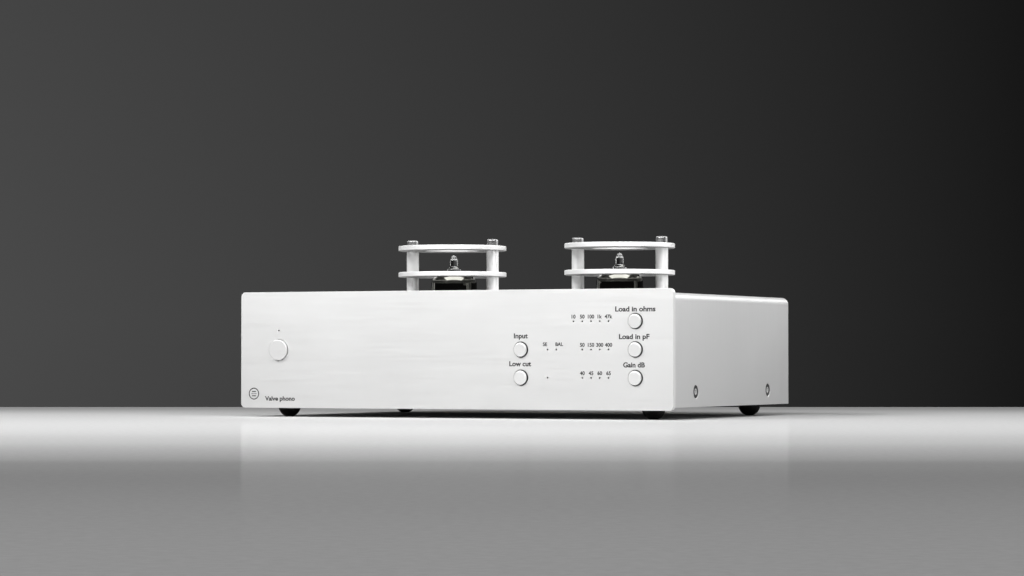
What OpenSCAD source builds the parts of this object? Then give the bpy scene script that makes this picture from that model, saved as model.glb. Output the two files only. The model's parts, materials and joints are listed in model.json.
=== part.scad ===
// Valve phono preamplifier: a shallow metal case with two valves standing in ring cages.
// Millimetres. X to the right seen from the front, Y to the back, Z up, Z = 0 on the table.
// The origin is the middle of the footprint, buttons and rear terminals included.

/* [Front panel] */
// Width of the front panel
panel_w = 206; // [204:1:212]
// Height of the front panel
panel_h = 50.8; // [50:0.2:52]
// Thickness of the front panel
panel_t = 2.5; // [2:0.1:2.8]
// Corner radius of the front panel
panel_r = 2; // [1:0.5:4]
// Gap between the table and the lower edge of the front panel
panel_lift = 3.9; // [3.5:0.1:4.5]

/* [Case] */
// Depth from the panel's front face to the rear edge of the cover
case_d = 137.7; // [136:0.1:145]
// How far the cover's top lies below the panel's top edge
cover_drop = 1.7; // [1:0.1:2.5]
// How far the cover's lower edge lies above the panel's lower edge
cover_rise = 1.2; // [0.8:0.1:1.3]
// How far each side of the cover lies inside the panel's side edge
cover_inset = 0.5; // [0.3:0.1:1]
// Sheet thickness of the cover
cover_t = 1.5; // [1.5:0.1:1.8]
// Outer radius of the cover's two bends
cover_r = 3; // [2.5:0.5:4]
// Sheet thickness of the base tray
tray_t = 1.2; // [1:0.1:1.3]

/* [Buttons] */
// Diameter of the power button
power_dia = 9; // [8:0.5:10]
// Diameter of the five function buttons
key_dia = 6.1; // [5.5:0.1:6.5]
// How far the buttons stand out of the panel
key_proud = 1.2; // [1:0.1:1.5]
// Travel of a button
key_travel = 0.8; // [0.3:0.1:1]
// Vertical distance between the rows of buttons
row_pitch = 11.85; // [11:0.05:12.5]
// Distance between neighbouring indicator holes
led_pitch = 4; // [3.8:0.1:4.2]
// Diameter of an indicator hole
led_hole_dia = 0.8; // [0.6:0.1:1.2]

/* [Valve cages] */
// Distance of each valve cage from the middle of the case
cage_x = 41.7; // [40:0.1:46]
// Distance of the valves behind the panel's front face
valve_depth = 86; // [80:1:90]
// Outer diameter of a cage ring
ring_dia = 49.4; // [48:0.2:51]
// Diameter of the hole that the valve passes through
ring_hole_dia = 25; // [24:0.5:27]
// Thickness of a cage ring
ring_t = 2.2; // [2:0.1:2.5]
// Distance of a post from the valve's axis
post_x = 20.4; // [19.5:0.1:21]
// Diameter of a post
post_dia = 5.6; // [5:0.1:6]
// Length of a post between two rings
post_h = 9.75; // [9:0.05:11]

/* [Valves] */
// How far the left valve stands off its cage's axis, towards the middle of the case
left_valve_shift = 0.8; // [0:0.1:1]
// Diameter of a valve's glass
glass_dia = 20.9; // [20:0.1:22]
// Thickness of the glass
glass_wall = 1; // [0.8:0.1:1.2]
// Height of the glass tip above the table
glass_tip_z = 72.8; // [71:0.1:73.5]

/* [Feet] */
// Diameter of the ball that a rubber foot is cut from
foot_dia = 10; // [9.6:0.1:12]
// Distance of each foot from the middle of the case
foot_x = 87.5; // [80:0.5:90]

/* [Hidden] */
$fn = 64;
fit_gap = 0.05;         // radial clearance of a screw or shaft in its hole
over = 1;               // how far a cutting body runs past the face it opens

// Heights
panel_top = panel_lift + panel_h;
panel_mid = panel_lift + panel_h / 2;
cover_top = panel_top - cover_drop;
cover_low = panel_lift + cover_rise;
sheet_gap = 0.2;        // gap between the tray and the inside of the cover
tray_z = cover_low + sheet_gap;
tray_floor = tray_z + tray_t;
tray_top = cover_top - cover_t - sheet_gap;
board_t = 1.6;
board_z = tray_floor + 5.9;
board_top = board_z + board_t;
row_z = [panel_mid + row_pitch, panel_mid, panel_mid - row_pitch];

// Depths, counted from the panel's front face and then moved to the frame
rear_reach = 11;        // how far the ground stud stands out behind the cover
overall_d = key_proud + case_d + rear_reach;
face_y = key_proud - overall_d / 2;
rear_y = face_y + case_d;
wall_recess = 0.7;      // the rear wall lies this far inside the cover's rear edge
wall_y = rear_y - wall_recess;
wall_in_y = wall_y - tray_t;
flange_y = face_y + panel_t;
flange_in_y = flange_y + tray_t;
switch_y = face_y + 8.5;
control_y = face_y + 12;

// Widths
cover_w = panel_w - 2 * cover_inset;
tray_w = cover_w - 2 * cover_t - 2 * sheet_gap;

// Buttons: [x, z, radius, radial gap to the hole in the panel, rounding of the front edge]
key_form = [key_dia / 2, 0.35, 0.6];
power_key = [-84, panel_mid, power_dia / 2, 0.2, 0.35];
input_key = concat([33.4, row_z[1]], key_form);
subsonic_key = concat([33.4, row_z[2]], key_form);
load_ohm_key = concat([86, row_z[0]], key_form);
load_pf_key = concat([86, row_z[1]], key_form);
gain_key = concat([86, row_z[2]], key_form);
keys = [power_key, input_key, subsonic_key, load_ohm_key, load_pf_key, gain_key];
key_flange = 1;         // how far the button's retaining flange stands out
key_flange_t = 0.8;
key_wall_gap = 0.5;     // radial gap between a button and its hole in the tray's flange
plunger_r = 1.7;
plunger_hold = 0.8;     // length of the plunger inside the switch at rest
plunger_y = face_y + 2.5;
switch_side = 6;

// Indicators: [x, z]
scale_x = 73.85;        // x of the indicator column next to the right-hand buttons
mode_x = 45.85;         // x of the first indicator next to the middle buttons
power_led_rise = 8.5;   // height of the power indicator above the power button
leds = concat(
    [for (i = [0:4]) [scale_x - i * led_pitch, row_z[0]]],
    [for (i = [0:3]) [scale_x - i * led_pitch, row_z[1]]],
    [for (i = [0:3]) [scale_x - i * led_pitch, row_z[2]]],
    [[mode_x, row_z[1]], [mode_x + led_pitch, row_z[1]], [mode_x, row_z[2]]],
    [[power_key[0], power_key[1] + power_led_rise]]
);
led_r = 1.45;
led_window_r = 1.6;     // hole for a lamp in the tray's flange

// Cages
valve_y = face_y + valve_depth;
lower_ring_z = cover_top + post_h;
upper_ring_z = lower_ring_z + ring_t + post_h;
cage_top = upper_ring_z + ring_t;
screw_head_r = 2.65;
screw_head_h = 2.9;
screw_edge = 0.7;                   // rounding of a cap screw's upper edge
ring_edge = 0.4;                    // rounding of a cage ring's edges
m3_r = 1.5;
m3_clear_r = 1.6;
sink_r = 3;                         // radius of a countersink at the face
head_sunk = 0.22;                   // depth of a countersunk head below the face
nut_af = 5.5;
nut_h = 2.4;

// Valves
socket_top = board_top + 10.5;
glass_base = socket_top + 0.4;
glass_r = glass_dia / 2;
shoulder_z = glass_tip_z - 13.4;    // where the straight glass wall ends
dome_z = glass_tip_z - 7.8;         // where the drawn-off tip starts
tip_bead_r = 1.2;                   // the tip's three widths, from its point down
tip_stem_r = 1.75;
tip_foot_r = 3.05;
glass_foot_t = 2.5;                 // thickness of the glass foot that holds the pins
pin_circle_r = 5.95;
pin_r = 0.5;
pin_len = 7;
pin_fit = 0.02;                     // radial gap between a pin and the glass or core that holds it
pin_angles = [for (i = [0:8]) -54 + 36 * i];
cathode_r = 0.6;
grid_rod_r = 0.35;
rod_fit = 0.05;                     // radial gap of cathodes and rods in the micas
rod_over = [1.5, 1.8];              // how far cathodes and rods stand out below and above
triode_x = 4.2;                     // distance of each triode from the valve's axis
mica_t = 0.4;
mica_z = [glass_base + 6.1, glass_base + 25.3];

// Valve sockets
socket_hole_r = 1.2;
stem_r = 0.45;                      // the part of a socket contact that goes through the board

// Fasteners in the case
foot_tread_r = 1.6;     // flat tread of a foot
side_screw_z = 11.6;
side_screw_depth = [26.4, 111.6];
stud_x = 96.5;
stud_z = [panel_lift + 7, panel_top - 7.5];
boss_r = 3;
boss_at = [[-90, 30], [90, 30], [-90, 118], [90, 105], [0, 62]];  // [x, depth]
front_boss_at = [[-60, 14], [-60, 44], [15, 14], [15, 44]];       // [x, z]

// Phono sockets
rca_x = [10, -42];
rca_z = [21.5, 37.5];
rca_r = 4.15;
rca_shank_r = 3.7;      // the narrower length through the insulating washers and the wall
rca_bore_r = 3.3;
rca_contact_r = 2.1;    // hole for the centre contact in the dielectric
rca_reach = 9.5;        // length of a barrel outside the rear wall
rca_inside = 7;         // length of a barrel behind the rear wall
rca_washer_t = 1.2;
connector_fit = 0.02;   // radial gap between parts pressed into each other
thin_nut_h = 2;

// Balanced connectors
xlr_x = [68, 38];
xlr_z = 29.5;
xlr_flange = [26, 31];
xlr_flange_t = 2;
xlr_screw = [9.5, 12];  // each flange screw's distance from the connector's middle
xlr_shell_r = 11.6;
xlr_bore_r = 9.6;
xlr_bore_end = 10;      // depth of the bore and of the whole shell behind the rear wall
xlr_shell_end = 14;
xlr_pin_r = 1.2;
xlr_pin_circle = 5;
xlr_pin_angles = [90, 210, 330];
mini_x = -16;
mini_z = 29.5;
mini_r = 6.2;
mini_bore_r = 4.6;
mini_bore_end = 8;
mini_shell_end = 12;
mini_pin_r = 0.5;
mini_pins = [for (i = [0:4]) [mini_x + 2.9 * cos(54 + 72 * i), mini_z + 2.9 * sin(54 + 72 * i)]];

// Supply socket and ground terminal
dc_x = 91;
dc_z = 21;
dc_body = [10, 13, 12.5];
dc_nose_r = 4.1;
dc_bore_r = 2.9;
dc_pin_r = 1.05;
ground_x = -76;
ground_z = 29.5;
stud_r = 2;
terminal_collar_r = 4.2;
terminal_collar_t = 1.5;
terminal_washer_t = 0.8;

// ---------- shapes that several parts use ----------

// A cylinder or cone along Y from y0 to y1
module y_rod(x, z, r, y0, y1, r2 = undef) {
    translate([x, y0, z])
        rotate([-90, 0, 0])
            cylinder(h = y1 - y0, r1 = r, r2 = is_undef(r2) ? r : r2);
}

// A cylinder or cone along Z from z0 to z1
module z_rod(x, y, r, z0, z1, r2 = undef) {
    translate([x, y, z0])
        cylinder(h = z1 - z0, r1 = r, r2 = is_undef(r2) ? r : r2);
}

// A box given by its middle in X and Y, its size and its lower face
module block(x, y, z0, size) {
    translate([x - size[0] / 2, y - size[1] / 2, z0])
        cube(size);
}

// An upright plate with four rounded corners, from y0 to y1
module round_plate(w, h, r, z0, y0, y1) {
    translate([-w / 2 + r, y0, z0])
        cube([w - 2 * r, y1 - y0, h]);
    translate([-w / 2, y0, z0 + r])
        cube([w, y1 - y0, h - 2 * r]);
    for (x = [-w / 2 + r, w / 2 - r], z = [z0 + r, z0 + h - r])
        y_rod(x, z, r, y0, y1);
}

// A tube along Z
module tube(x, y, r_out, r_in, z0, z1) {
    difference() {
        z_rod(x, y, r_out, z0, z1);
        z_rod(x, y, r_in, z0 - over, z1 + over);
    }
}

// A hexagon prism along Z, given by its width across flats
module hex_prism(af, h) {
    cylinder(h = h, d = af / cos(30), $fn = 6);
}

// A hexagon nut standing on the XY plane
module hex_nut(af = nut_af, h = nut_h, r = m3_r) {
    difference() {
        hex_prism(af, h);
        translate([0, 0, -over])
            cylinder(h = h + 2 * over, r = r);
    }
}

// A rectangle with rounded corners, from the origin
module soft_rectangle(w, h, r) {
    translate([r, 0])
        square([w - 2 * r, h]);
    translate([0, r])
        square([w, h - 2 * r]);
    for (x = [r, w - r], y = [r, h - r])
        translate([x, y])
            circle(r = r, $fn = 24);
}

// A countersunk screw along +Z: its head's top at the origin, its point at -length
module countersunk_screw(length, socket_af = 2) {
    shaft_r = m3_r - fit_gap;
    head_r = sink_r - head_sunk - 0.03;
    cone_h = head_r - shaft_r;
    socket_d = 1.1;
    difference() {
        union() {
            translate([0, 0, -cone_h])
                cylinder(h = cone_h, r1 = shaft_r, r2 = head_r);
            translate([0, 0, -length])
                cylinder(h = length - cone_h, r = shaft_r);
        }
        translate([0, 0, -socket_d])
            hex_prism(socket_af, socket_d + over);
    }
}

// Puts a child on the axis of both valve cages
module at_cages() {
    for (side = [-1, 1])
        translate([side * cage_x, valve_y, 0])
            children();
}

// Puts a child on the axis of the valve of one side, -1 or 1
module at_valve(side) {
    translate([side * cage_x + (side < 0 ? left_valve_shift : 0), valve_y, 0])
        children();
}

module at_valves() {
    for (side = [-1, 1])
        at_valve(side)
            children();
}

// Puts a child at each of a valve's nine pins, round the valve's axis
module at_pins() {
    for (a = pin_angles)
        rotate(a)
            translate([pin_circle_r, 0, 0])
                children();
}

// ---------- case ----------

module front_panel() {
    color("whitesmoke") {
        difference() {
            round_plate(panel_w, panel_h, panel_r, panel_lift, face_y, flange_y);
            for (k = keys)
                y_rod(k[0], k[1], k[2] + k[3], face_y - over, flange_y + over);
            for (l = leds)
                y_rod(l[0], l[1], led_hole_dia / 2, face_y - over, flange_y + over);
        }
        for (x = [-stud_x, stud_x], z = stud_z)
            y_rod(x, z, m3_r - fit_gap, flange_y, flange_y + 6);
    }
}

// A block along Y with its two upper edges rounded
module cover_shell(w, top, r, y0, y1, low) {
    translate([-w / 2, y0, low])
        cube([w, y1 - y0, top - low - r]);
    translate([-w / 2 + r, y0, low])
        cube([w - 2 * r, y1 - y0, top - low]);
    for (x = [-w / 2 + r, w / 2 - r])
        y_rod(x, top - r, r, y0, y1);
}

module cover() {
    side_x = cover_w / 2;
    color("silver")
        difference() {
            cover_shell(cover_w, cover_top, cover_r, flange_y, rear_y, cover_low);
            cover_shell(cover_w - 2 * cover_t, cover_top - cover_t, cover_r - cover_t,
                        flange_y - over, rear_y + over, cover_low - over);
            at_cages() {
                z_rod(0, 0, ring_hole_dia / 2, cover_top - 2 * cover_t, cover_top + over);
                for (x = [-post_x, post_x])
                    z_rod(x, 0, m3_clear_r, cover_top - 2 * cover_t, cover_top + over);
            }
            for (side = [-1, 1], d = side_screw_depth)
                translate([side * side_x, face_y + d, side_screw_z])
                    rotate([0, side * 90, 0]) {
                        translate([0, 0, -cover_t])
                            cylinder(h = cover_t, r1 = sink_r - cover_t, r2 = sink_r);
                        translate([0, 0, -2 * cover_t])
                            cylinder(h = 2 * cover_t, r = m3_clear_r);
                    }
        }
}

module cover_screws() {
    color("dimgray")
        for (side = [-1, 1], d = side_screw_depth)
            translate([side * (cover_w / 2 - head_sunk), face_y + d, side_screw_z])
                rotate([0, side * 90, 0])
                    countersunk_screw(6);
}

module rear_cutouts() {
    y0 = wall_in_y - over;
    y1 = wall_y + over;
    hole_gap = 0.1;
    for (x = rca_x, z = rca_z)
        y_rod(x, z, rca_r, y0, y1);
    for (x = xlr_x) {
        y_rod(x, xlr_z, xlr_shell_r + 2 * hole_gap, y0, y1);
        for (s = [-1, 1])
            y_rod(x + s * xlr_screw[0], xlr_z + s * xlr_screw[1], m3_r, y0, y1);
    }
    y_rod(mini_x, mini_z, mini_r, y0, y1);
    y_rod(dc_x, dc_z, dc_nose_r + hole_gap, y0, y1);
    y_rod(ground_x, ground_z, stud_r + hole_gap, y0, y1);
}

// One folded sheet: floor, front flange, rear wall and four side tabs, with tapped pillars
module base_tray() {
    tab_w = 14;
    tab_top = side_screw_z + 5;
    corner_r = cover_r - cover_t - sheet_gap;
    color("gainsboro") {
        difference() {
            union() {
                translate([-tray_w / 2, flange_y, tray_z])
                    cube([tray_w, wall_y - flange_y, tray_t]);
                cover_shell(tray_w, tray_top, corner_r, flange_y, flange_in_y, tray_z);
                cover_shell(tray_w, tray_top, corner_r, wall_in_y, wall_y, tray_z);
                for (side = [-1, 1], d = side_screw_depth)
                    block(side * (tray_w - tray_t) / 2, face_y + d, tray_z,
                          [tray_t, tab_w, tab_top - tray_z]);
                for (b = boss_at)
                    z_rod(b[0], face_y + b[1], boss_r, tray_floor - tray_t / 2, board_z);
                for (b = front_boss_at)
                    y_rod(b[0], b[1], boss_r, flange_in_y - tray_t / 2, control_y);
            }
            for (k = keys)
                y_rod(k[0], k[1], k[2] + key_wall_gap, flange_y - over, flange_in_y + over);
            for (l = leds)
                y_rod(l[0], l[1], led_window_r, flange_y - over, flange_in_y + over);
            for (x = [-stud_x, stud_x], z = stud_z)
                y_rod(x, z, m3_clear_r, flange_y - over, flange_in_y + over);
            for (d = side_screw_depth)
                translate([-tray_w, face_y + d, side_screw_z])
                    rotate([0, 90, 0])
                        cylinder(h = 2 * tray_w, r = m3_r);
            for (b = boss_at)
                z_rod(b[0], face_y + b[1], m3_r, tray_floor, board_z + over);
            for (b = front_boss_at)
                y_rod(b[0], b[1], m3_r, flange_in_y, control_y + over);
            rear_cutouts();
        }
    }
}

// One foot: a rubber dome under the tray with a small flat tread
module foot() {
    ball_r = foot_dia / 2;
    intersection() {
        z_rod(0, 0, ball_r, 0, tray_z);
        translate([0, 0, sqrt(ball_r * ball_r - foot_tread_r * foot_tread_r)])
            sphere(r = ball_r);
    }
}

module rubber_feet() {
    color("black")
        for (x = [-foot_x, foot_x], d = [16, 127.5])
            translate([x, face_y + d, 0])
                foot();
}

module m3_nuts() {
    color("silver") {
        at_cages()
            for (x = [-post_x, post_x])
                translate([x, 0, cover_top - cover_t - nut_h])
                    hex_nut();
        for (x = [-stud_x, stud_x], z = stud_z)
            translate([x, flange_in_y, z])
                rotate([-90, 0, 0])
                    hex_nut();
    }
}

// ---------- valve cages ----------

module cage_ring(side, z) {
    color("white")
        translate([side * cage_x, valve_y, 0])
            difference() {
                translate([0, 0, z])
                    rotate_extrude()
                        translate([ring_hole_dia / 2, 0])
                            soft_rectangle((ring_dia - ring_hole_dia) / 2, ring_t, ring_edge);
                for (x = [-post_x, post_x])
                    z_rod(x, 0, m3_clear_r, z - over, z + ring_t + over);
            }
}

module cage_spacers() {
    color("white")
        at_cages()
            for (x = [-post_x, post_x], z = [cover_top, lower_ring_z + ring_t])
                tube(x, 0, post_dia / 2, m3_clear_r, z, z + post_h);
}

// Cap screws that clamp each cage: from above the top ring to the nuts under the cover
module cage_screws() {
    shaft_end = cover_top - cover_t - nut_h - 0.6;
    socket_af = 2.5;
    socket_d = 1.5;
    color("silver")
        at_cages()
            for (x = [-post_x, post_x])
                translate([x, 0, 0])
                    difference() {
                        union() {
                            z_rod(0, 0, m3_r - fit_gap, shaft_end, cage_top + screw_head_h / 2);
                            translate([0, 0, cage_top])
                                rotate_extrude()
                                    polygon(concat(
                                        [[0, 0], [screw_head_r, 0]],
                                        [for (a = [0:15:90])
                                            [screw_head_r - screw_edge * (1 - cos(a)),
                                             screw_head_h - screw_edge * (1 - sin(a))]],
                                        [[0, screw_head_h]]
                                    ));
                        }
                        translate([0, 0, cage_top + screw_head_h - socket_d])
                            hex_prism(socket_af, socket_d + over);
                    }
}

// ---------- valves ----------

// A quarter ellipse from (r0, z0), where it is upright, to (r1, z1), where it lies flat
function dome(r0, z0, r1, z1) =
    [for (a = [0:7.5:90]) [r1 + (r0 - r1) * cos(a), z0 + (z1 - z0) * sin(a)]];

// 0 below t = 0, 1 above t = 1, and an even curve between
function smooth(t) = let (u = min(1, max(0, t))) u * u * (3 - 2 * u);

// Radius of the drawn-off tip at a distance below its point: a bead, a stem and a foot
function tip_radius(d) =
    tip_bead_r * sqrt(1 - pow(max(0, 1 - d / tip_bead_r), 2))
    + (tip_stem_r - tip_bead_r) * smooth((d - 1.2) / 1.2)
    + (tip_foot_r - tip_stem_r) * smooth((d - 4.8) / 1.8);

module valve_glass(side) {
    inner_r = glass_r - glass_wall;
    inner_top = dome_z - glass_wall;
    tip_steps = 24;
    tip_h = glass_tip_z - dome_z;
    foot_edge = 0.8;
    inner_dome = dome(inner_r, shoulder_z, tip_foot_r - glass_wall, inner_top);
    color("lightcyan")
        at_valve(side)
            difference() {
                rotate_extrude()
                    polygon(concat(
                        [[0, glass_base]],
                        [for (a = [0:15:90])
                            [glass_r - foot_edge * (1 - sin(a)),
                             glass_base + foot_edge * (1 - cos(a))]],
                        dome(glass_r, shoulder_z, tip_foot_r, dome_z),
                        [for (i = [1:tip_steps])
                            [tip_radius(tip_h * (1 - i / tip_steps)),
                             dome_z + tip_h * i / tip_steps]],
                        [[0, inner_top]],
                        [for (i = [len(inner_dome) - 1:-1:0]) inner_dome[i]],
                        [[inner_r, glass_base + glass_foot_t], [0, glass_base + glass_foot_t]]
                    ));
                at_pins()
                    z_rod(0, 0, pin_r + pin_fit, glass_base - over,
                          glass_base + glass_foot_t + over);
            }
}

module valve_pins(side) {
    inner_end = glass_base + glass_foot_t + 1.5;
    color("silver")
        at_valve(side)
            at_pins()
                z_rod(0, 0, pin_r, glass_base - pin_len, inner_end);
}

// Two folded anode plates, each an open box with a wing along each long edge
module valve_anodes(side) {
    mica_gap = 0.02;
    z0 = mica_z[0] + mica_t + mica_gap;
    size = [4.4, 8.8, mica_z[1] - mica_gap - z0];
    sheet = 0.3;
    wing = [1.2, 1];        // how far a wing stands out, and how far it ends short of the anode
    color("dimgray")
        at_valve(side)
            for (s = [-1, 1])
                translate([s * triode_x, 0, 0])
                    difference() {
                        union() {
                            block(0, 0, z0, size);
                            block(0, 0, z0 + wing[1],
                                  [sheet, size[1] + 2 * wing[0], size[2] - 2 * wing[1]]);
                        }
                        block(0, 0, z0 - over,
                              [size[0] - 2 * sheet, size[1] - 2 * sheet, size[2] + 2 * over]);
                    }
}

// Positions of the grid rods beside each cathode
function rod_positions() = [for (s = [-1, 1], y = [-1.7, 1.7]) [s * triode_x, y]];

module valve_micas(side) {
    mica_r = glass_r - glass_wall - 0.5;
    color("wheat")
        at_valve(side)
            for (z = mica_z)
                difference() {
                    z_rod(0, 0, mica_r, z, z + mica_t);
                    for (s = [-1, 1])
                        z_rod(s * triode_x, 0, cathode_r + rod_fit, z - over, z + mica_t + over);
                    for (p = rod_positions())
                        z_rod(p[0], p[1], grid_rod_r + rod_fit, z - over, z + mica_t + over);
                }
}

// Cathode sleeves with their grid rods
module valve_cathodes(side) {
    z0 = mica_z[0] - rod_over[0];
    z1 = mica_z[1] + rod_over[1];
    color("lightgray")
        at_valve(side) {
            for (s = [-1, 1])
                z_rod(s * triode_x, 0, cathode_r, z0, z1);
            for (p = rod_positions())
                z_rod(p[0], p[1], grid_rod_r, z0, z1);
        }
}

// The getter ring on its post above the upper mica
module valve_getter(side) {
    halo_r = 3.2;
    wire_r = 0.35;
    post_r = 0.28;
    halo_z = mica_z[1] + 5.4;
    color("gray")
        at_valve(side) {
            translate([0, 0, halo_z])
                rotate_extrude()
                    translate([halo_r, 0])
                        circle(r = wire_r, $fn = 24);
            z_rod(0, halo_r, post_r, mica_z[1] + mica_t, halo_z);
        }
}

// Nine-pin sockets on the main board
module valve_sockets() {
    socket_r = 11;
    middle_hole_r = 2.6;
    floor_t = 2;
    color("ivory")
        at_valves()
            difference() {
                z_rod(0, 0, socket_r, board_top, socket_top);
                z_rod(0, 0, middle_hole_r, board_top + floor_t, socket_top + over);
                at_pins()
                    z_rod(0, 0, socket_hole_r, board_top - over, socket_top + over);
            }
}

// Sleeves that take the valve pins, each with a stem soldered through the board
module socket_contacts() {
    sleeve_z = board_top + 1.2;
    floor_t = 0.6;
    stem_over = 1.2;        // how far a stem stands out below the board
    top_gap = 0.5;
    color("gold")
        at_valves()
            at_pins()
                difference() {
                    union() {
                        z_rod(0, 0, socket_hole_r - fit_gap, sleeve_z, socket_top - top_gap);
                        z_rod(0, 0, stem_r, board_z - stem_over, sleeve_z + floor_t / 2);
                    }
                    z_rod(0, 0, pin_r + fit_gap, sleeve_z + floor_t, socket_top);
                }
}

// ---------- boards ----------

module main_board() {
    w = 192;
    front = face_y + 17;
    back = face_y + 132;
    stem_gap = 0.15;
    color("darkgreen")
        difference() {
            translate([-w / 2, front, board_z])
                cube([w, back - front, board_t]);
            for (b = boss_at)
                z_rod(b[0], face_y + b[1], m3_clear_r, board_z - over, board_top + over);
            at_valves()
                at_pins()
                    z_rod(0, 0, stem_r + stem_gap, board_z - over, board_top + over);
        }
}

// A pan-head screw along -Z: its head stands on the XY plane
module pan_screw(length) {
    head_r = [2.8, 2.1];
    head_h = 1.8;
    socket_af = 2;
    socket_d = 1;
    difference() {
        union() {
            cylinder(h = head_h, r1 = head_r[0], r2 = head_r[1]);
            translate([0, 0, -length])
                cylinder(h = length + head_h / 2, r = m3_r - fit_gap);
        }
        translate([0, 0, head_h - socket_d])
            hex_prism(socket_af, socket_d + over);
    }
}

module board_screws() {
    length = 7;
    color("silver") {
        for (b = boss_at)
            translate([b[0], face_y + b[1], board_top])
                pan_screw(length);
        for (b = front_boss_at)
            translate([b[0], control_y + board_t, b[1]])
                rotate([-90, 0, 0])
                    pan_screw(length);
    }
}

module film_capacitors() {
    size = [10, 4.5, 9];
    first = [54, 44];       // x and depth of the first one on each side
    pitch = [14, 8];
    color("crimson")
        for (side = [-1, 1], row = [0:2], col = [0:1])
            block(side * (first[0] + pitch[0] * col), face_y + first[1] + pitch[1] * row,
                  board_top, size);
}

// Upright cans, each with the crimped groove near its foot
module electrolytic_capacitors() {
    r = 5;
    h = 16;
    groove = 0.5;
    crimp_z = 2.1;
    first = [70, 76];
    pitch = 14;
    color("navy")
        for (side = [-1, 1], row = [0:1], col = [0:1])
            translate([side * (first[0] + pitch * col), face_y + first[1] + pitch * row, board_top])
                rotate_extrude()
                    polygon([[0, 0], [r - groove, 0], [r, groove], [r, crimp_z - groove],
                             [r - groove, crimp_z], [r, crimp_z + groove], [r, h - groove],
                             [r - groove, h], [0, h]]);
}

module relays() {
    size = [7.4, 14.5, 9.8];
    first = [30, 28];
    pitch = 12;
    color("gold")
        for (i = [0:4])
            block(first[0] + pitch * i, face_y + first[1], board_top, size);
}

// Eight-legged amplifier chips, each with the half-round mark of its first leg
module amplifier_chips() {
    size = [9.4, 6.4, 3.2];
    body_z = board_top + 0.8;
    leg = [0.5, 0.3, 2.2];
    leg_pitch = 2.54;
    mark_r = 0.9;
    mark_d = 0.5;
    color("darkslategray")
        for (side = [-1, 1], depth = [44, 56])
            translate([side * 14, face_y + depth, 0]) {
                difference() {
                    block(0, 0, body_z, size);
                    z_rod(-size[0] / 2, 0, mark_r, body_z + size[2] - mark_d,
                          body_z + size[2] + over);
                }
                for (i = [-1.5:1.5], s = [-1, 1])
                    block(i * leg_pitch, s * (size[1] + leg[1] / 2) / 2, board_top, leg);
            }
}

module heatsink() {
    fin = [1.4, 12, 24];
    fins = 7;
    pitch = 4.2;
    back_t = 3;
    depth = 108;
    color("black")
        translate([0, face_y + depth, board_top]) {
            block(0, -fin[1] / 2, 0, [pitch * (fins - 1) + fin[0], back_t, fin[2]]);
            for (i = [0:fins - 1])
                block((i - (fins - 1) / 2) * pitch, 0, 0, fin);
        }
}

module control_board() {
    w = 183;
    edge_gap = 2.2;     // gap to the tray's floor and to the cover
    color("darkgreen")
        difference() {
            translate([-w / 2, control_y, tray_floor + edge_gap])
                cube([w, board_t, tray_top - tray_floor - 2 * edge_gap]);
            for (b = front_boss_at)
                y_rod(b[0], b[1], m3_clear_r, control_y - over, control_y + board_t + over);
        }
}

module tact_switches() {
    well = plunger_hold + key_travel + 0.2;     // depth of the well that the plunger slides in
    well_gap = 0.1;
    color("black")
        for (k = keys)
            difference() {
                translate([k[0] - switch_side / 2, switch_y, k[1] - switch_side / 2])
                    cube([switch_side, control_y - switch_y, switch_side]);
                y_rod(k[0], k[1], plunger_r + well_gap, switch_y - over, switch_y + well);
            }
}

module indicator_leds() {
    dome_y = face_y + 7;
    color("powderblue")
        for (l = leds) {
            y_rod(l[0], l[1], led_r, dome_y, control_y);
            intersection() {
                translate([l[0], dome_y, l[1]])
                    sphere(r = led_r);
                y_rod(l[0], l[1], led_r + over, dome_y - led_r - over, dome_y);
            }
        }
}

// A flat cable from the control board's back, bending down to the main board
module ribbon_cable() {
    x = -22;
    w = 18;
    t = 1.2;
    bend_r = 5;
    plug = [w + 3, 5, 6];       // width, depth along the cable and height of each plug
    top_z = 30;
    drop_y = face_y + 36;
    start_y = control_y + board_t + plug[1];
    bend_y = drop_y - bend_r;
    color("lightgray") {
        translate([x - plug[0] / 2, control_y + board_t, top_z - plug[2] / 2])
            cube(plug);
        translate([x - w / 2, start_y, top_z - t / 2])
            cube([w, bend_y - start_y, t]);
        difference() {
            intersection() {
                translate([x - w / 2, bend_y, top_z - bend_r])
                    rotate([0, 90, 0])
                        cylinder(h = w, r = bend_r + t / 2);
                translate([x - w, bend_y, top_z - bend_r])
                    cube([2 * w, 2 * bend_r, 2 * bend_r]);
            }
            translate([x - w, bend_y, top_z - bend_r])
                rotate([0, 90, 0])
                    cylinder(h = 2 * w, r = bend_r - t / 2);
        }
        translate([x - w / 2, drop_y - t / 2, board_top + plug[1]])
            cube([w, t, top_z - bend_r - board_top - plug[1]]);
        block(x, drop_y, board_top, [plug[0], plug[2], plug[1]]);
    }
}

// ---------- buttons ----------

// A button: a turned cap with a rounded front edge, a flange behind the tray and a
// blind hole that takes the switch's plunger
module button(k) {
    r = k[2];
    edge = k[4];
    cap_y = face_y - key_proud;
    hole_r = plunger_r + connector_fit;
    hole_end = plunger_y - cap_y;
    flange_start = flange_in_y - cap_y;
    flange_end = flange_start + key_flange_t;
    color("whitesmoke")
        translate([k[0], cap_y, k[1]])
            rotate([-90, 0, 0])
                rotate_extrude()
                    polygon(concat(
                        [[0, 0]],
                        [for (a = [0:15:90])
                            [r - edge + edge * sin(a), edge * (1 - cos(a))]],
                        [[r, flange_start], [r + key_flange, flange_start],
                         [r + key_flange, flange_end], [hole_r, flange_end],
                         [hole_r, hole_end], [0, hole_end]]
                    ));
}

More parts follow.
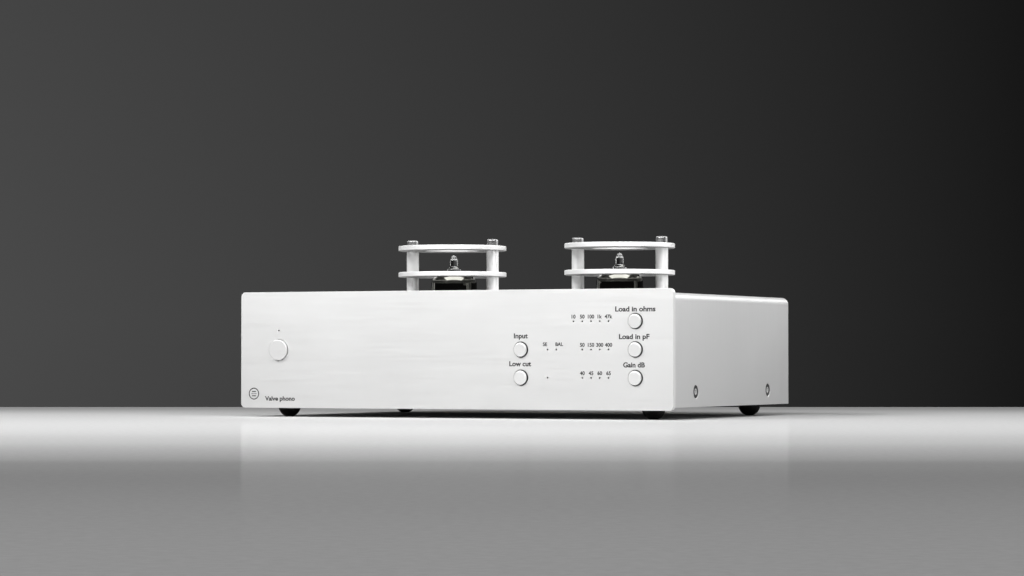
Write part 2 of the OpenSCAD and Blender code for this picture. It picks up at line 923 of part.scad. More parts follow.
// The switch's own plunger, held in the button's blind hole
module plunger(k) {
    color("white")
        y_rod(k[0], k[1], plunger_r, plunger_y, switch_y + plunger_hold);
}

// ---------- rear connectors ----------

module rca_barrels() {
    collar_y = wall_y + rca_washer_t;
    collar_t = 1.4;
    collar_r = 5.5;
    color("gold")
        for (x = rca_x, z = rca_z)
            difference() {
                union() {
                    y_rod(x, z, collar_r, collar_y, collar_y + collar_t);
                    y_rod(x, z, rca_r, collar_y, wall_y + rca_reach);
                    y_rod(x, z, rca_shank_r, wall_in_y - rca_inside, collar_y + collar_t / 2);
                }
                y_rod(x, z, rca_bore_r, wall_in_y - rca_inside - over, wall_y + rca_reach + over);
            }
}

// Insulating washers outside the wall, and the dielectric around each centre contact
module rca_insulators() {
    washer_r = 6;
    front = wall_y + 6.5;
    back = wall_in_y - rca_inside;
    color("white")
        for (x = rca_x, z = rca_z) {
            difference() {
                union() {
                    y_rod(x, z, washer_r, wall_y, wall_y + rca_washer_t);
                    y_rod(x, z, rca_r - fit_gap, wall_in_y, wall_y + rca_washer_t / 2);
                }
                y_rod(x, z, rca_shank_r + connector_fit, wall_in_y - over,
                      wall_y + rca_washer_t + over);
            }
            difference() {
                y_rod(x, z, rca_bore_r - connector_fit, back, front);
                y_rod(x, z, rca_contact_r, back - over, front + over);
            }
        }
}

// The nuts inside the rear wall that hold the phono barrels and the five-pin input
module connector_nuts() {
    rca_nut_af = 11;
    mini_nut_af = 17;
    color("silver") {
        for (x = rca_x, z = rca_z)
            translate([x, wall_in_y - thin_nut_h, z])
                rotate([-90, 0, 0])
                    hex_nut(rca_nut_af, thin_nut_h, rca_shank_r + fit_gap);
        translate([mini_x, wall_in_y - thin_nut_h, mini_z])
            rotate([-90, 0, 0])
                hex_nut(mini_nut_af, thin_nut_h, mini_r - fit_gap);
    }
}

// Male three-pin outputs: a flange outside the wall, a shell and an insulating core
module xlr_outputs() {
    flange_r = 3;
    sink_d = sink_r - m3_r;
    front = wall_y + xlr_flange_t;
    back = wall_in_y - xlr_shell_end;
    color("silver")
        for (x = xlr_x)
            difference() {
                union() {
                    translate([x, 0, 0])
                        round_plate(xlr_flange[0], xlr_flange[1], flange_r,
                                    xlr_z - xlr_flange[1] / 2, wall_y, front);
                    y_rod(x, xlr_z, xlr_shell_r, back, wall_y + xlr_flange_t / 2);
                }
                y_rod(x, xlr_z, xlr_bore_r, wall_in_y - xlr_bore_end, front + over);
                for (a = xlr_pin_angles)
                    y_rod(x + xlr_pin_circle * cos(a), xlr_z + xlr_pin_circle * sin(a),
                          xlr_pin_r + pin_fit, back - over, wall_in_y);
                for (s = [-1, 1])
                    translate([x + s * xlr_screw[0], 0, xlr_z + s * xlr_screw[1]]) {
                        y_rod(0, 0, m3_clear_r, wall_y - over, front + over);
                        y_rod(0, 0, sink_r - sink_d, front - sink_d, front, sink_r);
                    }
            }
}

module mini_xlr_input() {
    collar_r = mini_r + 1.6;
    collar_t = 2.2;
    shell_r = mini_r - 0.1;
    back = wall_in_y - mini_shell_end;
    color("silver")
        difference() {
            union() {
                y_rod(mini_x, mini_z, collar_r, wall_y, wall_y + collar_t);
                y_rod(mini_x, mini_z, shell_r, back, wall_y + collar_t / 2);
            }
            y_rod(mini_x, mini_z, mini_bore_r, wall_in_y - mini_bore_end, wall_y + collar_t + over);
            for (p = mini_pins)
                y_rod(p[0], p[1], mini_pin_r + pin_fit, back - over, wall_in_y);
        }
}

module dc_socket() {
    nose_y = wall_y + 0.9;
    bore_d = 9.5;
    color("black")
        difference() {
            union() {
                block(dc_x, wall_in_y - dc_body[1] / 2, board_top, dc_body);
                y_rod(dc_x, dc_z, dc_nose_r, wall_in_y - dc_body[1] / 2, nose_y);
            }
            y_rod(dc_x, dc_z, dc_bore_r, nose_y - bore_d, nose_y + over);
            y_rod(dc_x, dc_z, dc_pin_r + pin_fit, wall_in_y - dc_body[1] - over, wall_y);
        }
}

// Centre contacts of the phono sockets, the pins of both kinds of balanced connector,
// and the pin of the supply socket
module connector_contacts() {
    solder_end = 3;         // how far each contact stands out behind its connector
    rca_front = wall_y + 6;
    sleeve_bore_r = 1.6;
    sleeve_bore_d = 11;
    color("gold") {
        for (x = rca_x, z = rca_z)
            difference() {
                y_rod(x, z, rca_contact_r - connector_fit, wall_in_y - rca_inside - solder_end,
                      rca_front);
                y_rod(x, z, sleeve_bore_r, rca_front - sleeve_bore_d, rca_front + over);
            }
        for (x = xlr_x, a = xlr_pin_angles)
            y_rod(x + xlr_pin_circle * cos(a), xlr_z + xlr_pin_circle * sin(a), xlr_pin_r,
                  wall_in_y - xlr_shell_end - solder_end, wall_y - 1);
        for (p = mini_pins)
            y_rod(p[0], p[1], mini_pin_r, wall_in_y - mini_shell_end - solder_end, wall_y - 0.5);
        y_rod(dc_x, dc_z, dc_pin_r, wall_in_y - dc_body[1] - solder_end, wall_y - 1);
    }
}

module connector_screws() {
    length = 6;
    color("dimgray")
        for (x = xlr_x, s = [-1, 1])
            translate([x + s * xlr_screw[0], wall_y + xlr_flange_t - head_sunk,
                       xlr_z + s * xlr_screw[1]])
                rotate([-90, 0, 0])
                    countersunk_screw(length);
}

// The ground terminal: a stud through the rear wall with its own collar and inner nut
module ground_stud() {
    inner_nut_af = 7;
    inner_nut_h = 2.5;
    inner_end = 6;
    color("gold") {
        y_rod(ground_x, ground_z, stud_r, wall_in_y - inner_end, rear_y + rear_reach);
        y_rod(ground_x, ground_z, terminal_collar_r, wall_y, wall_y + terminal_collar_t);
        translate([ground_x, wall_in_y, ground_z])
            rotate([90, 0, 0])
                hex_prism(inner_nut_af, inner_nut_h);
    }
}

module ground_washer() {
    y0 = wall_y + terminal_collar_t;
    color("gold")
        difference() {
            y_rod(ground_x, ground_z, terminal_collar_r, y0, y0 + terminal_washer_t);
            y_rod(ground_x, ground_z, stud_r + fit_gap, y0 - over, y0 + over);
        }
}

// A knurled thumb nut: a round grip with flutes and a smooth collar against the washer
module ground_nut() {
    y0 = wall_y + terminal_collar_t + terminal_washer_t;
    collar = [3.6, 1];      // radius and length
    grip = [4.6, 4.2];
    flutes = 24;
    flute_r = 0.38;
    flute_circle = grip[0] + 0.15;
    y1 = y0 + collar[1];
    y2 = y1 + grip[1];
    color("gold")
        difference() {
            union() {
                y_rod(ground_x, ground_z, collar[0], y0, y1);
                y_rod(ground_x, ground_z, grip[0], y1, y2);
            }
            y_rod(ground_x, ground_z, stud_r + fit_gap, y0 - over, y2 + over);
            for (i = [0:flutes - 1])
                y_rod(ground_x + flute_circle * cos(i * 360 / flutes),
                      ground_z + flute_circle * sin(i * 360 / flutes),
                      flute_r, y1 - collar[1] / 2, y2 + over);
        }
}

front_panel();
cover();
base_tray();
rubber_feet();
cover_screws();
m3_nuts();
cage_ring(-1, upper_ring_z);  // cage_left_upper_ring
cage_ring(-1, lower_ring_z);  // cage_left_lower_ring
cage_ring(1, upper_ring_z);  // cage_right_upper_ring
cage_ring(1, lower_ring_z);  // cage_right_lower_ring
cage_spacers();
cage_screws();
valve_glass(-1);  // valve_left_glass
valve_pins(-1);  // valve_left_pins
valve_anodes(-1);  // valve_left_anodes
valve_micas(-1);  // valve_left_micas
valve_cathodes(-1);  // valve_left_cathodes
valve_getter(-1);  // valve_left_getter
valve_glass(1);  // valve_right_glass
valve_pins(1);  // valve_right_pins
valve_anodes(1);  // valve_right_anodes
valve_micas(1);  // valve_right_micas
valve_cathodes(1);  // valve_right_cathodes
valve_getter(1);  // valve_right_getter
valve_sockets();
socket_contacts();
main_board();
board_screws();
film_capacitors();
electrolytic_capacitors();
relays();
amplifier_chips();
heatsink();
control_board();
tact_switches();
indicator_leds();
ribbon_cable();
button(power_key);  // power_button
button(input_key);  // input_button
button(subsonic_key);  // subsonic_button
button(load_ohm_key);  // load_ohm_button
button(load_pf_key);  // load_pf_button
button(gain_key);  // gain_button
plunger(power_key);  // power_plunger
plunger(input_key);  // input_plunger
plunger(subsonic_key);  // subsonic_plunger
plunger(load_ohm_key);  // load_ohm_plunger
plunger(load_pf_key);  // load_pf_plunger
plunger(gain_key);  // gain_plunger
dc_socket();
ground_stud();
ground_washer();
ground_nut();
rca_barrels();
rca_insulators();
xlr_outputs();
mini_xlr_input();
connector_contacts();
connector_nuts();
connector_screws();
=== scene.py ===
"""The looks of a valve phono preamplifier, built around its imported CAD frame.

Lengths are in metres, in the CAD frame: X to the right seen from the front, Y to the back, Z up,
and the table at Z = 0. Places on the object are worked out from the boxes of the CAD nodes.
"""
import json
import math

import bmesh
import bpy
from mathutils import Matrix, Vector


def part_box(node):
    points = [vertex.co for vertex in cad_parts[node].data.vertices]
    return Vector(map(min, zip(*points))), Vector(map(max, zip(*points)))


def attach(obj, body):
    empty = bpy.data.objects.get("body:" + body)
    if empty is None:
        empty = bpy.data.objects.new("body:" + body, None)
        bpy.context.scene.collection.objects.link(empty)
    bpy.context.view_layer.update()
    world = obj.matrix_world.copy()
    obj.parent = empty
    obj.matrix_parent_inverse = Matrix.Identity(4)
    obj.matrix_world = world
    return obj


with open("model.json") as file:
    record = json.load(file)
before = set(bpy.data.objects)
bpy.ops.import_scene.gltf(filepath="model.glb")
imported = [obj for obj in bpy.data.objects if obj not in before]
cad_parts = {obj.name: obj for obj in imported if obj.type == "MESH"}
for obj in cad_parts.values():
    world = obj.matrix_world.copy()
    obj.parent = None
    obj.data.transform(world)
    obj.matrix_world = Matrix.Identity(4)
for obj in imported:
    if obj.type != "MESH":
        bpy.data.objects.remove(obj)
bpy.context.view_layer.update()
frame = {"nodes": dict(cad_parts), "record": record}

MM = 0.001
BLACK = (0.0, 0.0, 0.0)
SIDES = ("left", "right")
KEYS = ("power", "input", "subsonic", "load_ohm", "load_pf", "gain")


# ---------------------------------------------------------------- shader building blocks

class Shader:
    """The node tree of a new material or world. Most methods add one step to it and return that
    step's output socket."""

    def __init__(self, name, world=False):
        self.owner = (bpy.data.worlds if world else bpy.data.materials).new(name)
        self.owner.use_nodes = True
        self.tree = self.owner.node_tree
        self.tree.nodes.clear()
        self.output = self.node("ShaderNodeOutputWorld" if world else "ShaderNodeOutputMaterial")
        self.place = None

    def node(self, kind, inputs=None, **settings):
        """A new node, whole, with these inputs linked or set."""
        made = self.tree.nodes.new(kind)
        for key, value in settings.items():
            setattr(made, key, value)
        for key, value in (inputs or {}).items():
            self.feed(made.inputs[key], value)
        return made

    def feed(self, socket, value):
        """Link value to the input socket if it is an output, and otherwise write it there."""
        if isinstance(value, bpy.types.NodeSocket):
            self.tree.links.new(value, socket)
        elif socket.type == "RGBA" and len(value) == 3:
            socket.default_value = (*value, 1.0)
        else:
            socket.default_value = value

    def object_place(self):
        """Object coordinates, in metres."""
        if self.place is None:
            self.place = self.node("ShaderNodeTexCoord").outputs["Object"]
        return self.place

    def coordinates(self, stretch=(1, 1, 1)):
        """Object coordinates times stretch."""
        return self.node("ShaderNodeMapping", {
            "Vector": self.object_place(), "Scale": stretch}).outputs[0]

    def noise(self, scale, detail=3.0, stretch=(1, 1, 1), roughness=0.55):
        return self.node("ShaderNodeTexNoise", {
            "Vector": self.coordinates(stretch), "Scale": scale, "Detail": detail,
            "Roughness": roughness}).outputs["Fac"]

    def cells(self, scale, stretch=(1, 1, 1)):
        return self.node("ShaderNodeTexVoronoi", {
            "Vector": self.coordinates(stretch), "Scale": scale}).outputs["Distance"]

    def span(self, value, low, high, to_low=0.0, to_high=1.0):
        """value, mapped from low..high to to_low..to_high and clamped."""
        return self.node("ShaderNodeMapRange", {
            "Value": value, "From Min": low, "From Max": high,
            "To Min": to_low, "To Max": to_high}).outputs[0]

    def math(self, operation, a, b=0.0):
        made = self.node("ShaderNodeMath", operation=operation)
        self.feed(made.inputs[0], a)
        self.feed(made.inputs[1], b)
        return made.outputs[0]

    def mix(self, factor, a, b):
        """Colour a turning to colour b as factor goes from 0 to 1."""
        made = self.node("ShaderNodeMix", data_type="RGBA")
        self.feed(made.inputs[0], factor)
        self.feed(made.inputs[6], a)
        self.feed(made.inputs[7], b)
        return made.outputs[2]

    def part_of(self, vector, axis):
        """The X, Y or Z part of a vector."""
        return self.node("ShaderNodeSeparateXYZ", {"Vector": vector}).outputs[axis]

    def axis(self, name):
        """One object coordinate, in metres."""
        return self.part_of(self.object_place(), name)

    def rounded(self, radius):
        """A normal that reads each sharp edge as a small round of this radius."""
        return self.node("ShaderNodeBevel", {"Radius": radius}, samples=4).outputs[0]

    def bump(self, height, strength, distance, normal=None):
        made = self.node("ShaderNodeBump", {
            "Height": height, "Strength": strength, "Distance": distance})
        if normal is not None:
            self.feed(made.inputs["Normal"], normal)
        return made.outputs[0]

    def complete(self, shader):
        """The finished material or world, with this shader node as its surface."""
        self.feed(self.output.inputs["Surface"], shader.outputs[0])
        return self.owner

    def surface(self, **inputs):
        """The finished material, with a principled surface. Underscores stand for spaces."""
        named = {key.replace("_", " "): value for key, value in inputs.items()}
        return self.complete(self.node("ShaderNodeBsdfPrincipled", named))


def scaled(colour, share):
    return tuple(c * share for c in colour)


# ---------------------------------------------------------------- materials

FINE_SHARE = 0.88      # how much of the brushing is its finest lines


def brushed(name, colour, roughness, stretch, streak=0.05, edge=0.25 * MM, grain=0.012,
            metal=1.0, low=None, top=1.0):
    """Brushed and anodised aluminium. stretch is small along the brushing, large across it.

    low is (height, share): below that height the sheet gets evenly darker, a painted shade, down to
    that share of its colour at Z = 0. Faces that look up have the share top of it, a painted shade."""
    s = Shader(name)
    fine = s.noise(2600, 3, stretch, 0.6)
    wide = s.noise(700, 2, stretch)
    handling = s.noise(26, 3)
    pits = s.noise(9000, 2)
    lines = s.math("ADD", s.math("MULTIPLY", fine, FINE_SHARE),
                   s.math("MULTIPLY", wide, 1 - FINE_SHARE))
    tone = s.mix(s.span(lines, 0.35, 0.65), scaled(colour, 1 - streak), colour)
    # Painted shade: below height the sheet darkens towards the table.
    if low:
        height, share = low
        tone = s.mix(s.span(s.axis("Z"), 0.0, height, 1.0, 0.0), tone, scaled(colour, share))
    rough = s.math("ADD", s.span(lines, 0.3, 0.7, roughness - 0.05, roughness + 0.05),
                   s.span(handling, 0.35, 0.7, -0.012, 0.012))
    smooth = s.rounded(edge)
    # Painted shade: faces that look up are darkened to the top share of the colour.
    if top < 1.0:
        facing = s.part_of(smooth, "Z")
        tone = s.mix(s.span(facing, 0.98, 0.999), tone, scaled(colour, top))
    normal = s.bump(lines, 0.15, grain * MM, smooth)
    normal = s.bump(pits, 0.2, 0.004 * MM, normal)
    return s.surface(Base_Color=tone, Metallic=metal, Roughness=rough, Normal=normal)


def blasted(name, colour, roughness, metal, underside_shade, top, edge=0.2 * MM):
    """Bead-blasted and clear anodised aluminium: an even, almost white sheen.

    Painted shade: faces that look down have the underside share of the colour, faces that look up the
    top share."""
    s = Shader(name)
    beads = s.noise(6500, 3)
    clouds = s.noise(75, 3)
    tone = s.mix(s.span(clouds, 0.35, 0.7), colour, scaled(colour, 0.97))
    smooth = s.rounded(edge)
    facing = s.part_of(smooth, "Z")
    # Painted shade on faces that look down and on faces that look up.
    tone = s.mix(s.span(facing, -0.97, -0.35, 1.0, 0.0), tone, scaled(colour, underside_shade))
    tone = s.mix(s.span(facing, 0.97, 0.999), tone, scaled(colour, top))
    rough = s.math("ADD", s.span(beads, 0.3, 0.7, roughness - 0.05, roughness + 0.06),
                   s.span(clouds, 0.35, 0.7, -0.02, 0.03))
    normal = s.bump(beads, 0.3, 0.012 * MM, smooth)
    return s.surface(Base_Color=tone, Metallic=metal, Roughness=rough, Normal=normal)


def plated(name, colour, roughness, tint=0.12, edge=0.12 * MM):
    """Bright plated or stainless metal with small stains and fine machining."""
    s = Shader(name)
    stains = s.noise(420, 4)
    tooling = s.noise(5200, 2, (1, 1, 3))
    tone = s.mix(s.span(stains, 0.4, 0.7), colour, scaled(colour, 1 - tint))
    rough = s.math("ADD", s.span(stains, 0.3, 0.7, roughness, roughness + 0.12),
                   s.span(tooling, 0.3, 0.7, -0.03, 0.03))
    normal = s.bump(tooling, 0.25, 0.01 * MM, s.rounded(edge))
    return s.surface(Base_Color=tone, Metallic=1.0, Roughness=rough, Normal=normal)


KEY_EDGE = 0.15 * MM      # how far behind a button's face the painted shade on its sides starts, and how far behind it that painted shade is full
KEY_DARK = 0.9 * MM       # and how far behind it they are dark


def key_cap(front_y):
    """The satin face of a function button. Its sides get a painted shade that deepens towards the hole
    that it stands in.
    """
    s = Shader("key_aluminium")
    beads = s.noise(6500, 3)
    # Painted shade on the button's sides, deepening away from its face.
    shade = s.span(s.axis("Y"), front_y + KEY_EDGE, front_y + KEY_DARK)
    tone = s.mix(shade, (0.84, 0.84, 0.835), (0.05, 0.05, 0.05))
    tone = s.mix(s.span(beads, 0.3, 0.7, 0.0, 0.05), tone, BLACK)
    normal = s.bump(beads, 0.2, 0.006 * MM)
    return s.surface(Base_Color=tone, Metallic=0.7, Roughness=0.45, Normal=normal)


GLINT_R = 1.1 * MM         # a painted glint makes a screw bright as far as this from its axis, and it is black beyond this
BLACK_R = 1.5 * MM        # and black beyond this


def black_screw(front_y, back_y, z):
    """Blackened screws. Those at the height z and at front_y or back_y have a painted glint in their
    drive sockets.
    """
    s = Shader("steel_screw")
    stains = s.noise(900, 3)
    middle, half = (front_y + back_y) / 2, (back_y - front_y) / 2
    dy = s.math("SUBTRACT", s.math("ABSOLUTE", s.math("SUBTRACT", s.axis("Y"), middle)), half)
    dz = s.math("SUBTRACT", s.axis("Z"), z)
    away = s.math("SQRT", s.math("ADD", s.math("MULTIPLY", dy, dy), s.math("MULTIPLY", dz, dz)))
    # Painted glint of the drive socket near each screw's axis, fading to the black of the screw further
    # out.
    glint = s.span(away, GLINT_R, BLACK_R, 1.0, 0.0)
    black = s.mix(stains, (0.004, 0.004, 0.004), (0.012, 0.012, 0.012))
    tone = s.mix(glint, black, (0.75, 0.75, 0.75))
    rough = s.span(stains, 0.3, 0.7, 0.28, 0.42)
    metal = s.span(glint, 0.0, 1.0, 0.0, 0.5)
    return s.surface(Base_Color=tone, Metallic=metal, Roughness=rough, Normal=s.rounded(0.12 * MM),
                     Specular_IOR_Level=0.3)


def moulded(name, colour, roughness, grain=1600, depth=0.02, coat=0.0, tint=0.15):
    """Moulded plastic: fine spark-eroded grain and slight colour variation."""
    s = Shader(name)
    clouds = s.noise(90, 3)
    skin = s.noise(grain, 3)
    tone = s.mix(s.span(clouds, 0.35, 0.65), scaled(colour, 1 - tint), colour)
    rough = s.span(skin, 0.3, 0.7, roughness - 0.06, roughness + 0.08)
    normal = s.bump(skin, 0.4, depth * MM, s.rounded(0.15 * MM))
    return s.surface(Base_Color=tone, Roughness=rough, Normal=normal, Coat_Weight=coat)


def rubber():
    """Black rubber with an open grain and a little dust."""
    s = Shader("foot_rubber")
    grain = s.noise(2600, 4)
    dust = s.noise(240, 4)
    tone = s.mix(s.span(dust, 0.5, 0.75), (0.004, 0.004, 0.004), (0.016, 0.016, 0.015))
    rough = s.span(grain, 0.3, 0.7, 0.5, 0.7)
    normal = s.bump(grain, 0.5, 0.05 * MM)
    return s.surface(Base_Color=tone, Roughness=rough, Normal=normal, Specular_IOR_Level=0.25)


def ink():
    """Screen-printed ink, slightly broken where it is thin."""
    s = Shader("legend_ink")
    cover = s.noise(3800, 3)
    tone = s.mix(s.span(cover, 0.55, 0.8), (0.006, 0.006, 0.006), (0.025, 0.025, 0.025))
    rough = s.span(cover, 0.3, 0.7, 0.4, 0.6)
    return s.surface(Base_Color=tone, Roughness=rough, Normal=s.bump(cover, 0.2, 0.003 * MM))


def glass():
    """Clear bulb glass with faint drawing waves and a breath of dust."""
    s = Shader("valve_glass")
    waves = s.noise(140, 2, (1, 1, 0.25))
    dust = s.noise(900, 4)
    rough = s.span(dust, 0.6, 0.9, 0.0, 0.04)
    normal = s.bump(waves, 0.05, 0.05 * MM)
    return s.surface(Base_Color=(0.97, 0.98, 0.98), Roughness=rough, IOR=1.5,
                     Transmission_Weight=1.0, Normal=normal)


RAGGED = 0.8 * MM             # how far the mirror's edge wanders up and down
MIRROR_FADE = 2.6 * MM        # the height over which the mirror thins out
BROWN_BELOW = 1.0 * MM        # the mirror's brown border, below and above its edge
BROWN_ABOVE = 1.5 * MM


def getter_mirror(edge_z):
    """The mirror that a valve's getter leaves on its bulb. Below edge_z it thins out to brown."""
    s = Shader("getter_mirror")
    patches = s.noise(160, 3)
    ragged = s.noise(300, 3)
    height = s.math("ADD", s.axis("Z"), s.span(ragged, 0.3, 0.7, -RAGGED, RAGGED))
    opaque = s.span(height, edge_z - MIRROR_FADE, edge_z)
    silver = s.mix(s.span(patches, 0.35, 0.7), (0.16, 0.16, 0.145), (0.21, 0.21, 0.19))
    border = s.span(height, edge_z - BROWN_BELOW, edge_z + BROWN_ABOVE)
    tone = s.mix(border, (0.10, 0.06, 0.035), silver)
    rough = s.span(patches, 0.3, 0.7, 0.015, 0.03)
    return s.surface(Base_Color=tone, Metallic=1.0, Roughness=rough, Alpha=opaque)


def mica():
    """A mica disc: pale, layered, with silvery flakes."""
    s = Shader("valve_mica")
    flakes = s.cells(1500, (1, 1, 0.3))
    layers = s.noise(700, 3)
    tone = s.mix(s.span(flakes, 0.1, 0.5), (0.62, 0.58, 0.50), (0.80, 0.77, 0.70))
    rough = s.span(layers, 0.3, 0.7, 0.18, 0.42)
    return s.surface(Base_Color=tone, Roughness=rough, Normal=s.bump(flakes, 0.3, 0.02 * MM),
                     Specular_IOR_Level=0.8, Transmission_Weight=0.15)


def anode():
    """Carbonised sheet: velvet grey-black with a coarse bloom."""
    s = Shader("valve_anode")
    bloom = s.noise(700, 4)
    tone = s.mix(s.span(bloom, 0.35, 0.65), (0.035, 0.035, 0.036), (0.09, 0.09, 0.092))
    rough = s.span(bloom, 0.3, 0.7, 0.55, 0.8)
    return s.surface(Base_Color=tone, Metallic=0.4, Roughness=rough,
                     Normal=s.bump(bloom, 0.4, 0.04 * MM))


def circuit_board():
    """Glass-epoxy board: green resist over a grid of tracks, with tinned pads between them."""
    s = Shader("board_green")
    bricks = s.node("ShaderNodeTexBrick", {
        "Vector": s.coordinates(), "Scale": 150.0, "Mortar Size": 0.05,
        "Color1": (0.0, 0.0, 0.0, 1), "Color2": (0.2, 0.2, 0.2, 1), "Mortar": (1, 1, 1, 1)})
    tracks = s.span(bricks.outputs["Fac"], 0.0, 1.0)
    pads = s.span(s.cells(330), 0.10, 0.16, 1.0, 0.0)
    weave = s.noise(1800, 2)
    green = s.mix(tracks, (0.006, 0.075, 0.03), (0.02, 0.16, 0.07))
    tone = s.mix(pads, green, (0.72, 0.70, 0.66))
    rough = s.span(weave, 0.3, 0.7, 0.22, 0.38)
    height = s.math("ADD", tracks, s.math("MULTIPLY", weave, 0.2))
    return s.surface(Base_Color=tone, Metallic=s.math("MULTIPLY", pads, 0.9), Roughness=rough,
                     Normal=s.bump(height, 0.3, 0.03 * MM))


def sleeve(top):
    """Dark blue shrink sleeve on the capacitor cans, and a bare aluminium lid just below top."""
    s = Shader("can_sleeve")
    wrinkle = s.noise(500, 3, (1, 1, 0.2))
    lid = s.span(s.axis("Z"), top - 0.45 * MM, top - 0.35 * MM)
    blue = s.mix(s.span(wrinkle, 0.4, 0.6), (0.008, 0.014, 0.06), (0.02, 0.03, 0.1))
    tone = s.mix(lid, blue, (0.75, 0.75, 0.76))
    rough = s.span(wrinkle, 0.3, 0.7, 0.22, 0.36)
    return s.surface(Base_Color=tone, Metallic=lid, Roughness=rough,
                     Normal=s.bump(wrinkle, 0.3, 0.04 * MM))


def lamp_lens():
    """The hazy, slightly blue epoxy of a lamp that is off."""
    s = Shader("lamp_clear")
    haze = s.noise(1400, 3)
    tone = s.mix(s.span(haze, 0.35, 0.65), (0.08, 0.10, 0.12), (0.14, 0.16, 0.19))
    return s.surface(Base_Color=tone, Roughness=s.span(haze, 0.3, 0.7, 0.08, 0.2),
                     Transmission_Weight=0.6, Coat_Weight=0.5)


def ribbon():
    """Flat cable: one ridge per conductor, with painted shade in the grooves between them."""
    s = Shader("cable_grey")
    ridges = s.node("ShaderNodeTexWave", {
        "Vector": s.coordinates(), "Scale": 125.0, "Distortion": 0.0},
        wave_type="BANDS", bands_direction="X").outputs["Fac"]
    dust = s.noise(500, 3)
    # Painted shade: darker in the grooves between the ridges.
    tone = s.mix(ridges, (0.25, 0.25, 0.26), (0.48, 0.48, 0.49))
    rough = s.span(dust, 0.3, 0.7, 0.4, 0.55)
    return s.surface(Base_Color=tone, Roughness=rough, Normal=s.bump(ridges, 0.6, 0.2 * MM))


def channel_washers(split):
    """White washers above split, red ones below it."""
    s = Shader("insulator")
    low = s.span(s.axis("Z"), split - 0.1 * MM, split + 0.1 * MM, 1.0, 0.0)
    skin = s.noise(1500, 3)
    tone = s.mix(low, (0.78, 0.77, 0.75), (0.5, 0.02, 0.02))
    return s.surface(Base_Color=tone, Roughness=s.span(skin, 0.3, 0.7, 0.22, 0.36),
                     Normal=s.bump(skin, 0.3, 0.02 * MM), Coat_Weight=0.2)


# ---------------------------------------------------------------- dressing the CAD nodes

def centre_of(node):
    low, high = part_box(node)
    return (low + high) / 2


panel_low, panel_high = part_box("front_panel")
face_y = panel_low.y

ALONG_X = (0.012, 1, 1)      # brushing that runs along X
ALONG_Z = (1, 1, 0.012)

screws_low, screws_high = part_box("cover_screws")
SCREW_HEAD_R = 2.8 * MM

LOOKS = {
    "key_aluminium": key_cap(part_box("gain_button")[0].y),
    # Painted shade: the panel and cover darken low down, the cover and rings on top, the rings
    # underneath.
    "panel_aluminium": brushed("panel_aluminium", (0.86, 0.86, 0.856), 0.5, ALONG_X, 0.02,
                               metal=0.75, low=(panel_high.z, 0.78)),
    "cover_aluminium": brushed("cover_aluminium", (0.84, 0.84, 0.84), 0.42, ALONG_Z, 0.05,
                               metal=0.8, low=(panel_high.z, 0.68), top=0.62),
    "tray_aluminium": brushed("tray_aluminium", (0.70, 0.70, 0.70), 0.48, ALONG_X),
    "ring_aluminium": blasted("ring_aluminium", (0.95, 0.95, 0.946), 0.5, 0.5, 0.3, 0.68),
    "steel_bright": plated("steel_bright", (0.46, 0.46, 0.46), 0.26, 0.1),
    "steel_screw": black_screw(screws_low.y + SCREW_HEAD_R, screws_high.y - SCREW_HEAD_R,
                               centre_of("cover_screws").z),
    "foot_rubber": rubber(),
    "valve_nickel": plated("valve_nickel", (0.62, 0.60, 0.56), 0.28),
    "valve_anode": anode(),
    "valve_mica": mica(),
    "valve_glass": glass(),
    "socket_body": moulded("socket_body", (0.72, 0.68, 0.58), 0.3, coat=0.3),
    "contact_gold": plated("contact_gold", (0.90, 0.66, 0.28), 0.16),
    "board_green": circuit_board(),
    "film_red": moulded("film_red", (0.42, 0.02, 0.015), 0.3, coat=0.2),
    "can_sleeve": sleeve(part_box("electrolytic_capacitors")[1].z),
    "relay_case": moulded("relay_case", (0.62, 0.60, 0.54), 0.42),
    "chip_black": moulded("chip_black", (0.02, 0.02, 0.02), 0.5),
    "heatsink_black": brushed("heatsink_black", (0.035, 0.035, 0.036), 0.5, ALONG_Z),
    "switch_black": moulded("switch_black", (0.025, 0.025, 0.025), 0.45),
    "plunger_white": moulded("plunger_white", (0.75, 0.75, 0.72), 0.4),
    "lamp_clear": lamp_lens(),
    "cable_grey": ribbon(),
    "insulator": channel_washers(centre_of("rca_barrels").z),
    "connector_shell": plated("connector_shell", (0.58, 0.58, 0.57), 0.3),
    "socket_black": moulded("socket_black", (0.02, 0.02, 0.02), 0.4),
}

for part in frame["record"]["subparts"]:
    item = frame["nodes"][part["node"]]
    item.data.materials.clear()
    item.data.materials.append(LOOKS[part["material_slot"]])


# ---------------------------------------------------------------- pieces made here

def mesh_object(name, mesh, material, body):
    """A piece that rides on a body, with this material."""
    made = bpy.data.objects.new(name, mesh)
    bpy.context.scene.collection.objects.link(made)
    mesh.materials.clear()
    mesh.materials.append(material)
    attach(made, body)
    return made


def full_turn(steps):
    """The angles of this many even steps round a circle."""
    return [2 * math.pi * i / steps for i in range(steps)]


def lathe(name, outline, centre, steps=96):
    """A skin turned about the upright axis through centre, from (radius, height) points."""
    bm = bmesh.new()
    rows = [[bm.verts.new((centre.x + radius * math.cos(a), centre.y + radius * math.sin(a), height))
             for a in full_turn(steps)] for radius, height in outline]
    for lower, upper in zip(rows, rows[1:]):
        for i in range(steps):
            j = (i + 1) % steps
            bm.faces.new([lower[i], lower[j], upper[j], upper[i]])
    bmesh.ops.recalc_face_normals(bm, faces=bm.faces)
    mesh = bpy.data.meshes.new(name)
    bm.to_mesh(mesh)
    bm.free()
    for polygon in mesh.polygons:
        polygon.use_smooth = True
    return mesh


# ---------------------------------------------------------------- valves

